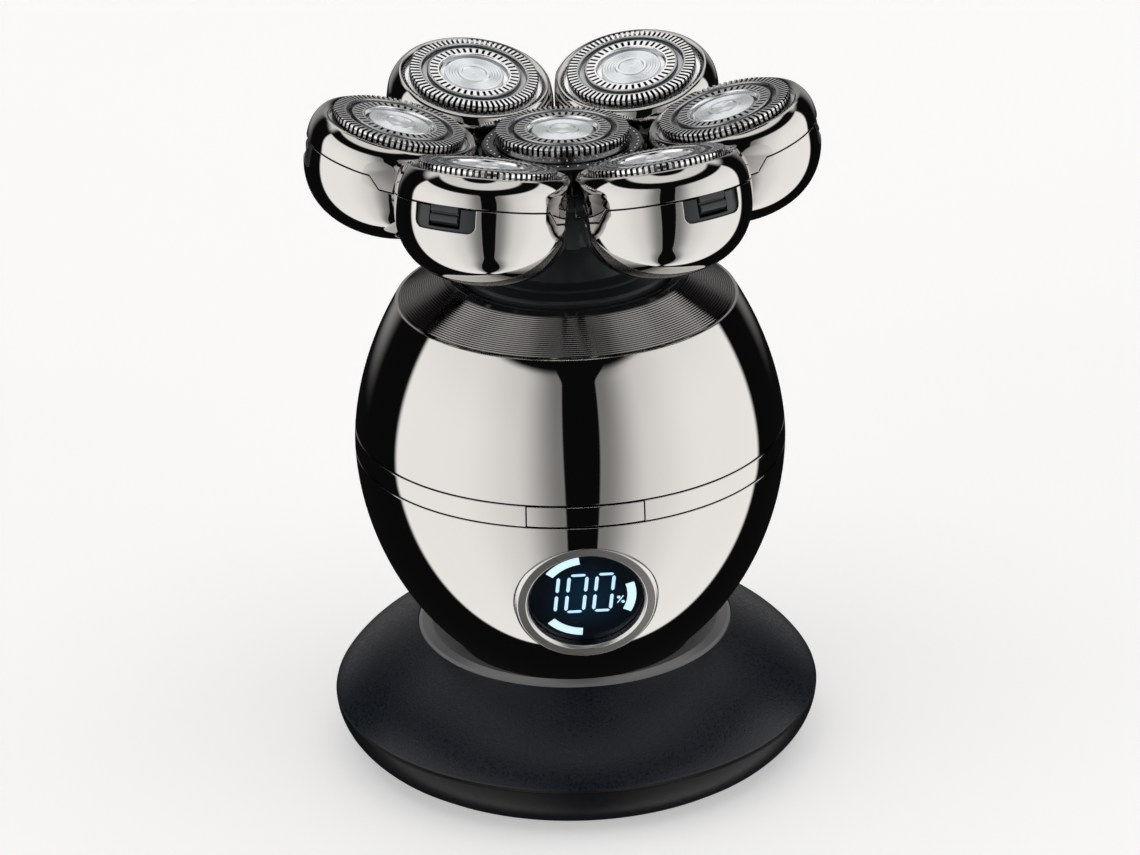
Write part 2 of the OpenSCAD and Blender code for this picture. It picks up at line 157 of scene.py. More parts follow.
def mesh(name, solids, sharp=32):
    """One mesh from solids; a solid's third item is its material's number."""
    pts, faces, mats = [], [], []
    for s in solids:
        o = len(pts)
        pts += [(x * MM, y * MM, z * MM) for x, y, z in s[0]]
        faces += [[i + o for i in f] for f in s[1]]
        m = s[2] if len(s) > 2 else 0
        mats += m if isinstance(m, list) else [m] * len(s[1])
    me = bpy.data.meshes.new(name)
    me.from_pydata(pts, [], faces)
    me.polygons.foreach_set("material_index", mats)
    bm = bmesh.new()
    bm.from_mesh(me)
    bmesh.ops.recalc_face_normals(bm, faces=bm.faces)
    bm.to_mesh(me)
    bm.free()
    shade(me, sharp)
    return me


def shade(me, sharp):
    me.polygons.foreach_set("use_smooth", [True] * len(me.polygons))
    me.set_sharp_from_angle(angle=math.radians(sharp))


def carve(me, cutters, operation="DIFFERENCE", sharp=32):
    """me with other meshes cut from it, or joined to it."""
    made = [bpy.data.objects.new("work", m) for m in [me] + cutters]
    for o in made:
        bpy.context.scene.collection.objects.link(o)
    for o in made[1:]:
        m = made[0].modifiers.new("cut", "BOOLEAN")
        m.object, m.operation, m.solver = o, operation, "EXACT"
    dg = bpy.context.evaluated_depsgraph_get()
    out = bpy.data.meshes.new_from_object(made[0].evaluated_get(dg))
    out.name = me.name + "_cut"
    for o in made:
        bpy.data.objects.remove(o)
    out.materials.clear()
    shade(out, sharp)
    return out


def polish(me, radius, tol=0.02):
    """Gives the faces on a surface of revolution that surface's own normals."""
    normals = []
    for p in me.polygons:
        for li in p.loop_indices:
            v = me.vertices[me.loops[li].vertex_index].co / MM
            rho = math.hypot(v.x, v.y)
            n = None
            if rho > 0.5:
                r = radius(v.z)
                slope = (radius(v.z + 0.01) - radius(v.z - 0.01)) / 0.02
                n = Vector((v.x / rho, v.y / rho, -slope)).normalized()
                if abs(rho - r) > tol or p.normal.dot(n) < 0.98:
                    n = None
            normals.append(n or Vector((0, 0, 0)))
    me.normals_split_custom_set(normals)
    return me


# ---------- finishes ----------
def node(tree, kind, inputs=None, **settings):
    n = tree.nodes.new(kind)
    for k, v in settings.items():
        setattr(n, k, v)
    for k, v in (inputs or {}).items():
        if isinstance(v, bpy.types.NodeSocket):
            tree.links.new(v, n.inputs[k])
        else:
            n.inputs[k].default_value = v
    return n


def calc(tree, op, a, b=0.0):
    return node(tree, "ShaderNodeMath", {0: a, 1: b}, operation=op).outputs[0]


def ramp(tree, value, lo, hi, a=0.0, b=1.0):
    """value from lo to hi becomes a to b, eased at both ends."""
    inputs = {0: value, 1: lo, 2: hi, 3: a, 4: b}
    return node(tree, "ShaderNodeMapRange", inputs, interpolation_type="SMOOTHSTEP").outputs[0]


def finish(name, colour, metal=0.0, rough=0.5, vary=0.08, scale=300.0, rough_vary=0.05, bump=0.0,
           bump_scale=2500.0, edge=0.0, specular=0.5, glow=None):
    """A material whose colour and roughness wander a little; edge rounds its corners by that many mm."""
    m = bpy.data.materials.new(name)
    m.use_nodes = True
    t = m.node_tree
    t.nodes.clear()
    at = node(t, "ShaderNodeTexCoord").outputs["Object"]
    noise = node(t, "ShaderNodeTexNoise", {"Vector": at, "Scale": scale, "Detail": 3.0}).outputs["Fac"]
    lo, hi = [tuple(min(1.0, c * k) for c in colour) + (1,) for k in (1 - vary, 1 + vary)]
    mix = node(t, "ShaderNodeMix", {0: noise, 6: lo, 7: hi}, data_type="RGBA").outputs[2]
    sh = node(t, "ShaderNodeBsdfPrincipled", {"Base Color": mix, "Metallic": metal,
              "Roughness": ramp(t, noise, 0.3, 0.7, max(0.0, rough - rough_vary), rough + rough_vary),
              "Specular IOR Level": specular})
    normal = None
    if edge:
        normal = node(t, "ShaderNodeBevel", {"Radius": edge * MM}, samples=4).outputs[0]
    if bump:
        grain = node(t, "ShaderNodeTexNoise", {"Vector": at, "Scale": bump_scale, "Detail": 2.0}).outputs["Fac"]
        b = node(t, "ShaderNodeBump", {"Height": grain, "Strength": bump, "Distance": 0.0001})
        if normal:
            t.links.new(normal, b.inputs["Normal"])
        normal = b.outputs[0]
    if normal:
        t.links.new(normal, sh.inputs["Normal"])
    if glow:
        t.links.new(mix, sh.inputs["Emission Color"])
        sh.inputs["Emission Strength"].default_value = glow
    t.links.new(sh.outputs[0], node(t, "ShaderNodeOutputMaterial").inputs[0])
    return m


FINISH = {
    "plated_shell": finish("plated_shell", (0.475, 0.463, 0.450), 1, 0.025, 0.02, 60, 0.008, edge=0.12),
    "grooved_metal": finish("grooved_metal", (0.20, 0.195, 0.19), 1, 0.09, 0.05, 400, 0.03),
    "satin_black": finish("satin_black", (0.0045, 0.007, 0.012), 0, 0.34, 0.6, 2600, 0.10, bump=0.45,
                          bump_scale=3000, edge=0.15, specular=0.22),
    "gloss_black": finish("gloss_black", (0.010, 0.010, 0.012), 0, 0.10, 0.2, 300, 0.03),
    "ring_grey": finish("ring_grey", (0.19, 0.195, 0.205), 0, 0.32, 0.04, 900, 0.03, specular=0.5),
    "slate_plastic": finish("slate_plastic", (0.014, 0.018, 0.022), 0, 0.40, 0.15, 900, 0.04, bump=0.15,
                            bump_scale=4000, edge=0.1, specular=0.4),
    "bezel_silver": finish("bezel_silver", (0.50, 0.495, 0.485), 1, 0.26, 0.02, 60, 0.008),
    "foil_steel": finish("foil_steel", (0.80, 0.81, 0.82), 1, 0.16, 0.03, 2500, 0.03),
    "blade_steel": finish("blade_steel", (0.055, 0.056, 0.058), 1, 0.35, 0.1, 900, 0.06),
    "plain_steel": finish("plain_steel", (0.55, 0.555, 0.56), 1, 0.30, 0.08, 500, 0.08),
    "gear_plastic": finish("gear_plastic", (0.72, 0.72, 0.69), 0, 0.45, 0.04, 300, 0.05),
    "board_green": finish("board_green", (0.012, 0.10, 0.045), 0, 0.38, 0.35, 700, 0.08),
    "gold_contact": finish("gold_contact", (0.80, 0.58, 0.24), 1, 0.22, 0.06, 600, 0.05),
    "cell_sleeve": finish("cell_sleeve", (0.03, 0.12, 0.36), 0, 0.28, 0.1, 200, 0.05),
    "rubber_black": finish("rubber_black", (0.014, 0.014, 0.014), 0, 0.75, 0.25, 1200, 0.06, bump=0.3),
}
LIT = finish("display_lit", (0.80, 1.0, 1.0), 0, 0.4, 0.03, 300, 0.02, glow=0.95)
FIGURES = finish("display_figures", (0.66, 0.88, 1.0), 0, 0.4, 0.04, 300, 0.02, glow=1.0)
DISC = finish("foil_disc", (0.90, 0.94, 0.97), 0.8, 0.32, 0.02, 300, 0.01)
MID = finish("foil_ring", (0.40, 0.41, 0.42), 1, 0.20, 0.03, 2500, 0.03)
# near-black copy of the foil steel for the slit walls and the bars' undersides: painted shade inside the slits
SLIT_SHADE = finish("slit_walls_painted_shade", (0.03, 0.031, 0.033), 1, 0.4, 0.1, 2500, 0.05)
# a darker, less shiny copy of satin_black for the base's lower moulding: painted shade
SHADED_UNDER = finish("under_black_painted_shade", (0.003, 0.0035, 0.0045), 0, 0.34, 0.3, 2000, 0.05, edge=0.15,
               specular=0.12)
PIPS = finish("collar_pips", (0.75, 0.76, 0.78), 1, 0.25, 0.05, 900, 0.03)


def display_face():
    """Near-black face with a dim blue glow round the figures."""
    m = finish("display_face", (0.003, 0.006, 0.010), 0, 0.4, 0.1, 60, 0.01, specular=0.2)
    t = m.node_tree
    sh = [n for n in t.nodes if n.type == "BSDF_PRINCIPLED"][0]
    at = node(t, "ShaderNodeTexCoord").outputs["Object"]
    away = node(t, "ShaderNodeVectorMath", {0: at}, operation="LENGTH").outputs["Value"]
    glow = ramp(t, away, 0.0075, 0.0015)
    ends = {0: glow, 6: (0.0006, 0.0012, 0.0022, 1), 7: (0.002, 0.017, 0.034, 1)}
    blue = node(t, "ShaderNodeMix", ends, data_type="RGBA")
    t.links.new(blue.outputs[2], sh.inputs["Emission Color"])
    sh.inputs["Emission Strength"].default_value = 1.0
    return m


def dark_glass():
    """Thin tinted glass with a weak shine."""
    m = bpy.data.materials.new("dark_glass")
    m.use_nodes = True
    t = m.node_tree
    t.nodes.clear()
    at = node(t, "ShaderNodeTexCoord").outputs["Object"]
    noise = node(t, "ShaderNodeTexNoise", {"Vector": at, "Scale": 150.0}).outputs["Fac"]
    ends = {0: noise, 6: (0.86, 0.90, 0.94, 1), 7: (0.92, 0.94, 0.97, 1)}
    tint = node(t, "ShaderNodeMix", ends, data_type="RGBA").outputs[2]
    clear = node(t, "ShaderNodeBsdfTransparent", {0: tint}).outputs[0]
    rough = ramp(t, noise, 0.3, 0.7, 0.015, 0.02)
    shine = node(t, "ShaderNodeBsdfGlossy", {"Color": (0.5, 0.5, 0.5, 1), "Roughness": rough}).outputs[0]
    fresnel = node(t, "ShaderNodeFresnel", {0: 1.35}).outputs[0]
    mix = node(t, "ShaderNodeMixShader", {0: fresnel, 1: clear, 2: shine}).outputs[0]
    t.links.new(mix, node(t, "ShaderNodeOutputMaterial").inputs[0])
    return m


FINISH["display_face"] = display_face()
FINISH["dark_glass"] = dark_glass()
IDENTITY = Matrix.Identity(4)


def put(name, me, body, slot, nodes=(), place=IDENTITY, materials=None):
    """Adds a piece that rides on a body in place of CAD nodes."""
    if not me.materials:
        for m in materials or [FINISH[slot]]:
            me.materials.append(m)
    o = bpy.data.objects.new(name, me)
    bpy.context.scene.collection.objects.link(o)
    o.matrix_world = Matrix.Translation(place.translation * MM) @ place.to_3x3().to_4x4()
    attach(o, body)
    if nodes:
        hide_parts(*nodes)
    return o


# CAD nodes that are shown keep their mesh and take the finish of their slot
for s in frame["record"]["subparts"]:
    o = frame["nodes"][s["node"]]
    for ms in o.material_slots:
        ms.material = FINISH[s["material_slot"]]
    shade(o.data, 30)

# ---------- charging base ----------
top = bez((36.8, 9.2), (33.4, 14.3), (24.15, 18.65), 40)
outline = soft([(0, 10.7), (12.2, 10.7), (15.6, 13.0), (18.6, 14.7), (24.6, 14.7), (32.2, 11.2),
                (35.2, 8.25), (37.35, 8.25)]
               + top + [(24.15, 16.6), (18.2, 16.6)] + [(br(z) + 0.6, z) for z in steps(15.8, 14.0, 8)]
               + [(br(13.2) + 0.7, 13.2), (11.7, 12.5), (0, 12.5)], 0.3, lim=16)
me = carve(mesh("base_cover", [lathe(outline, n=256)]),
           [mesh("holes", [prism(circle(0.85, x=x), 10, 14) for x in (-4.75, 0, 4.75)])])
put("base_top", me, "base", "satin_black", ["base_cover"]).visible_glossy = False
outline = soft([(0, 0.7), (24, 0.7), (24, 1.5), (30, 1.5), (30, 0.7), (32.7, 0.7)]
               + bez((34.4, 1.9), (37.3, 4.6), (37.35, 7.95), 24)
               + [(34.0, 7.95), (33.9, 9.2), (32.9, 9.2), (32.9, 5.6), (31.6, 2.5), (0, 2.5)], 0.25, lim=24)
SCREWS = [(20.5 * math.cos(a), 20.5 * math.sin(a)) for a in map(math.radians, (45, 135, 225, 315))]
cuts = [box(-4.8, 30, 3.3, 4.8, 39, 7.2)] + [prism(circle(1.3, x=x, y=y), 0.5, 3.5) for x, y in SCREWS]
rims = [prism(circle(2.4, x=x, y=y), 0.5, 1.6) for x, y in SCREWS]
me = carve(mesh("base_bottom", [lathe(outline, n=256)]), [mesh("cuts", cuts), mesh("rims", rims)])
# the lower moulding takes the darker copy of the satin black, which is painted shade
put("base_under", me, "base", "satin_black", ["base_bottom"], materials=[SHADED_UNDER]).visible_glossy = False
outline = soft([(18.4, 16.62), (24.1, 16.62), (24.1, 18.55), (23.6, 18.8), (22.0, 18.8), (20.6, 17.9),
                (18.4, 16.9)], 0.25)
me = mesh("recess_ring", [lathe(outline, n=256)])
put("base_ring", me, "base", "ring_grey", ["recess_ring"]).visible_glossy = False

# the mirror shells show only the light, not the base
for name in ("base_weight", "base_board", "charge_pins", "base_screws", "foot_pad"):
    frame["nodes"][name].visible_glossy = False

# ---------- handset ----------
N = 320
outline = [(br(z), z) for z in steps(52.18, 71.95, 60)] + [(br(z, 2), z) for z in steps(71.95, 52.18, 12)]
outline = soft(outline, 0.16, 5, 30)
me = mesh("upper_shell", [lathe(outline, n=N)], 60)
put("shell_upper", me, "handset", "plated_shell", ["upper_shell"])
outline = [(0, 13.9), (1.9, 13.9), (1.9, 12.5), (3.9, 12.5), (3.9, 13.9), (5.6, 13.9), (5.6, 12.5)]
outline += [(10.6, 12.5)]
outline += [(br(z), z) for z in steps(12.85, 48.62, 110)] + [(br(z, 2), z) for z in steps(48.62, 16.4, 24)]
outline += [(9.6, 14.4), (0, 14.4)]
FACE = Matrix.Translation((0, -30.15, 34.9)) @ turn("X", 103.5)
me = carve(mesh("lower_shell", [lathe(soft(outline, 0.16, 5, 30), n=N)], 60),
           [mesh("hole", [prism(circle(10.6, 192), -4.4, 4, FACE)])], sharp=50)
put("shell_lower", polish(me, br), "handset", "plated_shell", ["lower_shell"])
half = math.asin(8.65 / BODY_R)
outline = [(br(z), z) for z in steps(48.82, 51.98, 10)] + [(br(z, 2.1), z) for z in steps(51.98, 48.82, 4)]
outline = soft(outline, 0.16, 5, 30)
hoop = soft([(29.1, 46.4), (30.2, 46.4), (30.45, 48.5), (30.45, 49.4), (30.35, 51.2), (30.25, 52.3),
             (29.75, 54.2), (28.9, 54.2)], 0.1)
arc = (-math.pi / 2 + half, TAU - math.pi / 2 - half)
me = mesh("band_ring", [lathe(outline, n=N, arc=arc), lathe(hoop, n=128, arc=arc)], 45)
put("band", me, "handset", "plated_shell", ["band_ring"])
half = math.asin(8.42 / BODY_R)
outline = soft([(br(z), z) for z in steps(48.9, 51.9, 10)] + [(29.4, 51.9), (29.4, 48.9)], 0.2, 5, 30)
stem = box(-1.5, -29.6, 49.1, 1.5, -27.6, 51.7)
me = mesh("power_button", [lathe(outline, n=48, arc=(-math.pi / 2 - half, -math.pi / 2 + half)), stem], 45)
put("button_cap", me, "button", "plated_shell", ["power_button"])

# twenty turned grooves down the collar's cone
p0, p1 = Vector((25.1, 72.0)), Vector((18.3, 75.5))
outline = []
for i in range(20):
    for f, dip in ((0.0, 0.0), (0.10, 0.045), (0.26, 0.06), (0.42, 0.0), (0.5, -0.13), (0.62, -0.15),
                   (0.76, -0.13), (0.88, -0.02)):
        q = p0 + (p1 - p0) * ((i + f) / 20)
        outline.append((q.x + 0.42 * dip, q.y + 0.9 * dip) if dip < 0 or i else tuple(q))
outline += [tuple(p1), (18.3, 73.4), (23.3, 70.6), (23.3, 69.8), (br(69.8, 2) - 0.02, 69.8),
            (br(72, 2) - 0.15, 71.95)]
me = mesh("grooved_collar", [lathe(outline, n=288)], 45)
put("collar", me, "handset", "grooved_metal", ["grooved_collar"])
outline = soft([(2.0, 73.0), (18.25, 73.0), (18.25, 75.6), (17.6, 76.0), (16.4, 75.9), (15.9, 75.5),
                (15.9, 74.7), (5.4, 74.7), (5.4, 78.4), (4.9, 78.9), (2.0, 78.9)], 0.25)
post = lathe([(0.8, 69.65), (1.9, 69.65), (1.9, 73.1), (0.8, 73.1)], n=32)
posts = [shift(post, turn("Z", 90 * i) @ Matrix.Translation((14.2, 0, 0))) for i in range(4)]
me = mesh("coupling_dish", [lathe(outline, n=192)] + posts)
put("dish", me, "handset", "gloss_black", ["coupling_dish"])

# display
outline = soft([(8.5, -4.3), (10.5, -4.3), (10.5, -1.35), (10.1, -0.85), (8.85, -0.8), (8.5, -1.25)], 0.22)
me = mesh("display_bezel", [lathe(outline, n=192)])
put("bezel", me, "handset", "bezel_silver", ["display_bezel"], FACE)
me = mesh("display_glass", [lathe(soft([(0, -2.4), (8.45, -2.4), (8.45, -1.3), (0, -1.3)], 0.15), n=128)])
put("window", me, "handset", "dark_glass", ["display_glass"], FACE)


def slab(points, slot):
    """A lit shape on the display; slot is its material's number."""
    return (*prism(points, -2.47, -2.42), slot)


def segment(x0, y0, x1, y1, w, slot):
    """A six-sided bar between two points, slanted with the figures."""
    a, b = Vector((x0 + 0.09 * y0, y0)), Vector((x1 + 0.09 * y1, y1))
    u = (b - a).normalized()
    n = Vector((-u.y, u.x)) * w / 2
    e = u * w * 0.55
    return slab([tuple(p) for p in (a, a + e + n, b - e + n, b, b - e - n, a + e - n)], slot)


def ring_part(r0, r1, a0, a1, slot):
    """A slab between two radii and two angles."""
    angles = [math.radians(a) for a in steps(a0, a1, 24)]
    return slab([(r1 * math.cos(a), r1 * math.sin(a)) for a in angles]
                + [(r0 * math.cos(a), r0 * math.sin(a)) for a in reversed(angles)], slot)


solids = [(*lathe([(0, -4.4), (8.4, -4.4), (8.4, -2.47), (0, -2.47)], n=96), 0),
          (*lathe([(0, -5.6), (9.6, -5.6), (9.6, -4.5), (0, -4.5)], n=96), 3)]
solids += [ring_part(6.1, 7.4, a, b, 1) for a, b in ((98, 142), (-26.5, 18), (221, 266))]
for x in (-4.28, -2.72, -0.12, 1.36, 3.84):
    solids += [segment(x, 0.85, x, 3.65, 0.50, 2), segment(x, -2.62, x, 0.25, 0.50, 2)]
for x in (-2.72, 1.36):
    solids += [segment(x + 0.2, y, x + 2.4, y, 0.44, 2) for y in (3.98, -2.85)]
solids += [segment(4.75, -1.62, 5.55, -0.22, 0.16, 2)]
solids += [slab(circle(0.26, 20, x, y), 2) for x, y in ((4.82, -0.52), (5.46, -1.38))]
put("display", mesh("display_module", solids), "handset", "display_face", ["display_module"], FACE,
    [FINISH["display_face"], LIT, FIGURES, FINISH["board_green"]])


# ---------- foil guards, with the slits cut through ----------
INNER, OUTER = 40, 72  # slits in the two rings
SLIT_HALF = 0.21

def between(count, r):
    """Angles of both edges of every slit at radius r."""
    h = math.asin(SLIT_HALF / r)
    return [TAU * i / count + s * h for i in range(count) for s in (-1, 1)]


def bars(count, over, under):
    """The metal left between slits: a strip swept over one line and back under another."""
    pts, faces, mats = [], [], []
    for i in range(count):
        o = len(pts)
        for line in (over, under):
            for r, z in line:
                h = math.pi / count - math.asin(SLIT_HALF / r)
                for s in (-1, 1):
                    a = TAU * (i + 0.5) / count + s * h
                    pts.append((r * math.cos(a), r * math.sin(a), z))
        n = len(over)
        for k in range(n - 1):
            a, b = o + 2 * k, o + 2 * (n + k)
            faces += [[a, a + 1, a + 3, a + 2], [b, b + 2, b + 3, b + 1],
                      [a, a + 2, b + 2, b], [a + 1, b + 1, b + 3, a + 3]]
            # material 2 on the bars' undersides, sides and ends is the near-black copy of the foil steel:
            # painted shade in the slits
            mats += [0, 2, 2, 2]
        a, b = o, o + 2 * n
        faces.append([a, b, b + 1, a + 1])
        a, b = o + 2 * (n - 1), o + 4 * n - 2
        faces.append([a, a + 1, b + 1, b])
        mats += [2, 2]
    return pts, faces, mats


def foil(name, skirt, flange):
    """A guard: its disc, two rings of bars with a grooved ring between, and a skirt with a flange."""
    disc = [(0, -0.98), (4.42, -0.98), (4.5, -0.86), (4.5, -0.4), (4.44, -0.3)]
    disc += [(r, -0.25 + 0.035 * math.sin(r * 15) * min(1, (4.35 - r) * 3)) for r in steps(4.3, 2.5, 40)]
    disc += [(2.45, -0.2), (2.35, -0.12), (1.95, -0.12), (1.85, -0.2)]
    disc += [(r, -0.25 + 0.02 * math.sin(r * 20)) for r in steps(1.8, 0.3, 30)] + [(0, -0.25)]
    middle = [(0, -1.2), (5.5, -1.2), (5.5, -0.35), (5.56, -0.35), (5.56, -0.0), (5.35, 0), (5.24, -0.06),
              (5.2, -0.14), (5.2, -0.86), (5.1, -0.9), (4.4, -0.9), (4.4, -1.0), (0, -1.0)]
    ring = [(6.74, -0.35), (6.8, -0.35), (6.8, -1.2), (8.2, -1.2), (8.2, -0.35), (8.3, -0.35), (8.3, 0),
            (8.05, 0), (7.94, -0.06), (7.9, -0.14), (7.9, -0.86), (7.8, -0.9), (7.2, -0.9), (7.1, -0.86),
            (7.1, -0.14), (7.06, -0.06), (6.95, 0), (6.74, 0)]
    low = soft([(9.45, -skirt - 0.4), (flange, -skirt - 0.4), (flange, -skirt), (9.8, -skirt)], 0.1)[:-1]
    low += [(9.8, -skirt), (9.8, -1.25), (9.45, -1.25)]
    over = [(8.3, 0), (8.8, 0.0), (9.3, 0)] + bez((9.52, 0), (9.8, 0), (9.8, -0.28), 5)
    over += [(9.8, -0.7), (9.8, -1.25)]
    under = [(8.3, -0.35), (8.8, -0.35), (9.2, -0.35)] + bez((9.3, -0.35), (9.45, -0.35), (9.45, -0.5), 5)
    under += [(9.45, -0.7), (9.45, -1.25)]
    edges = sorted(a % TAU for a in between(INNER, 6.74) + between(OUTER, 8.3))
    inner = bars(INNER, [(5.56, 0), (6.1, 0), (6.74, 0)], [(5.56, -0.35), (6.1, -0.35), (6.74, -0.35)])
    return mesh(name, [lathe(middle, between(INNER, 5.56)), (*lathe(disc, n=96), 1), (*lathe(ring, edges), 3),
                       lathe(low, between(OUTER, 9.8)), inner, bars(OUTER, over, under)], 28)


# ---------- head ----------
# the third of these finishes is painted shade on the slit walls
STEELS = [FINISH["foil_steel"], DISC, SLIT_SHADE, MID]
put("middle_foil", foil("centre_foil", 3.2, 10.55), "head", "foil_steel", ["centre_foil"],
    Matrix.Translation((0, 0, 98.05)), STEELS)
outline = soft([(10.15, 95.9), (11.6, 96.0), (11.9, 95.7), (11.9, 91.5), (10.7, 91.5), (10.7, 94.9),
                (10.15, 94.9)], 0.12)
me = mesh("centre_cover", [lathe(outline, n=192)])
put("middle_collar", me, "head", "gloss_black", ["centre_cover"])
dome = [(0.17 * math.cos(a), 95.93 + 0.12 * math.sin(a)) for a in steps(0, math.pi / 2, 4)]
pip = lathe([(0, 95.9)] + dome[:-1] + [(0, 96.05)], n=10)
pips = [shift(pip, turn("Z", 7.5 * i) @ Matrix.Translation((11.05, 0, 0))) for i in range(48)]
put("collar_pips", mesh("pips", pips), "head", "foil_steel", materials=[PIPS])

# ---------- pods, drawn about their own axis with the foil's top at 0 and outward along +X ----------
POD = [turn("Z", 60 * i) @ Matrix.Translation((23.63, 0, 100.3)) @ turn("Y", -15) for i in range(6)]
BACK = POD[0].inverted()
UPRIGHT = turn("X", 90)


def pod_radius(z):
    return pr(-z)


def side_flats():
    """What is cut from a pod's sides, where its neighbours stand."""
    out = []
    for side in (-1, 1):
        for reach, angle in ((11.75, 112), (12.5, 80)):
            out.append(mesh("flat", [shift(box(reach, -15, -25, 21, 15, 10), turn("Z", side * angle))]))
    return out


def seam(off, z):
    """All that lies between the stepped seam, moved by off, and height z."""
    return [(20, -5.05 + off), (20, z), (-20, z), (-20, -6.8 + off), (1.9, -6.8 + off), (3.7, -5.05 + off)]


outline = [(10.35, -1.75), (10.35, -1.3), (10.42, -1.14), (10.6, -0.98), (10.85, -0.84), (11.1, -0.76)]
outline += [(11.3, -0.79)]
outline += [(pr(d), -d) for d in steps(0.95, 7.1, 48)]
outline += [(11.5, -7.1), (11.55, -3.4), (11.2, -2.8), (9.95, -2.8), (9.95, -2.25), (11.2, -2.25)]
outline += [(11.2, -1.75)]
GAP = 0.12  # half of the seam between bowl and cover
cuts = side_flats() + [mesh("below", [prism(seam(GAP, -20), -20, 20, UPRIGHT)])]
me = carve(mesh("cover", [lathe(outline, n=240)]), cuts, sharp=24)
COVER = polish(me, pod_radius)
outline = [(pr(d), -d) for d in steps(4.9, 16.9, 84)] + [(1.2, -17.0), (0, -17.02)]
outline += [(0, -15.84)] + [(pr(d, 0.85 if d > 10 else 1.2), -d) for d in steps(15.6, 4.9, 30)]


def opening(w, low, r):
    """Outline of the hinge's opening: straight sides and two round lower corners."""
    left = [(r - w + r * math.cos(a), low + r + r * math.sin(a)) for a in steps(math.pi, 1.5 * math.pi, 10)]
    right = [(w - r + r * math.cos(a), low + r + r * math.sin(a)) for a in steps(1.5 * math.pi, TAU, 10)]
    return [(-w, 1)] + left + right + [(w, 1)]


AXES = Matrix(((0, 0, 1, 0), (1, 0, 0, 0), (0, 1, 0, 0), (0, 0, 0, 1)))
cuts = side_flats() + [mesh("above", [prism(seam(-GAP, 20), -20, 20, UPRIGHT)]),
                       mesh("panel", [prism(opening(4.65, -8.55, 1.2), 9, 15, AXES)]),
                       mesh("way", [shift(box(10, -7.4, 87.6, 17.6, 7.4, 95.6), BACK)])]
me = carve(mesh("bowl", [lathe(outline, n=240)]), cuts, sharp=24)
inner = [lathe([(1.26, -15.2), (1.26, -10.3), (2.6, -10.3), (2.6, -15.9), (0, -15.9), (0, -15.2)], n=64)]
rod = BACK @ Matrix.Translation((13.6, 0, 86.6)) @ turn("X", -90)
inner += [shift(prism(circle(0.95, 32), -2.4, 2.4), rod), shift(prism(circle(0.43, 24), -4.2, 4.2), rod),
          shift(box(13.6, -2.4, 85.65, 16.3, 2.4, 87.35), BACK)]
bm = bmesh.new()
bm.from_mesh(me)
bm.from_mesh(mesh("inner", inner))
bm.to_mesh(me)
bm.free()
shade(me, 24)
BOWL = polish(me, pod_radius)
outline = soft([(10.9, -4.9), (12.30, -4.9), (12.40, -5.3), (12.40, -5.80), (12.32, -5.92), (12.0, -5.97),
                (12.0, -6.22), (12.3, -6.3), (12.42, -6.45), (12.44, -7.0), (12.3, -7.25), (12.0, -7.5),
                (11.6, -7.76), (11.0, -7.8), (10.4, -7.4), (10.2, -6.9), (10.4, -6.0)], 0.1)
pin = prism(circle(0.45, 24, 11.3, -6.7), -2.85, 2.85, UPRIGHT)
KNUCKLE = mesh("knuckle", [prism(outline, -2.1, 2.1, UPRIGHT), pin])
block = [(10.95, -5.3), (12.3, -5.3), (12.3, -8.2), (12.22, -8.5), (11.25, -8.5), (11.25, -7.9), (10.95, -7.8)]
me = carve(mesh("hinge_block", [lathe(block, n=60, arc=(-0.45, 0.45))]),
           [mesh("outline", [prism(opening(4.6, -8.5, 1.15), 9, 15, AXES)])], "INTERSECT")
HINGE = carve(me, [mesh("slot", [box(9, -2.4, -8.05, 15, 2.4, -2)])])
FOIL = foil("foil", 1.8, 11.1)
for i, place in enumerate(POD, 1):
    put(f"pod_bowl_{i}", BOWL, f"pod_{i}", "plated_shell", [f"bowl_{i}"], place)
    put(f"pod_cover_{i}", COVER, f"lid_{i}", "plated_shell", [f"cover_{i}"], place)
    put(f"pod_knuckle_{i}", KNUCKLE, f"lid_{i}", "slate_plastic", [f"cover_{i}"], place)
    put(f"pod_hinge_{i}", HINGE, f"pod_{i}", "slate_plastic", [f"hinge_block_{i}"], place)
    put(f"pod_foil_{i}", FOIL, f"lid_{i}", "foil_steel", [f"foil_{i}"], place, STEELS)

# ---------- floor, light and camera ----------
FLOOR_R = 4000
ground = bpy.data.materials.new("floor")
ground.use_nodes = True
t = ground.node_tree
t.nodes.clear()
at = node(t, "ShaderNodeTexCoord").outputs["Object"]
noise = node(t, "ShaderNodeTexNoise", {"Vector": at, "Scale": 3.0}).outputs["Fac"]
ends = {0: noise, 6: (0.80, 0.80, 0.80, 1), 7: (0.83, 0.83, 0.83, 1)}
pale = node(t, "ShaderNodeMix", ends, data_type="RGBA").outputs[2]
matt = node(t, "ShaderNodeBsdfDiffuse", {0: pale}).outputs[0]
glow = node(t, "ShaderNodeEmission", {0: pale, 1: 0.48}).outputs[0]
both = node(t, "ShaderNodeAddShader", {0: matt, 1: glow}).outputs[0]
gone = node(t, "ShaderNodeBsdfTransparent").outputs[0]
below = node(t, "ShaderNodeNewGeometry").outputs["Backfacing"]
mix = node(t, "ShaderNodeMixShader", {0: below, 1: both, 2: gone}).outputs[0]
t.links.new(mix, node(t, "ShaderNodeOutputMaterial").inputs[0])
fl = bpy.data.meshes.new("floor_top")
fl.from_pydata([(x * MM, y * MM, -0.00001) for x, y in circle(FLOOR_R, 96)], [], [list(range(96))])
fl.materials.append(ground)
floor = bpy.data.objects.new("floor", fl)
bpy.context.scene.collection.objects.link(floor)
floor.visible_glossy = floor.visible_diffuse = floor.visible_transmission = floor.visible_shadow = False

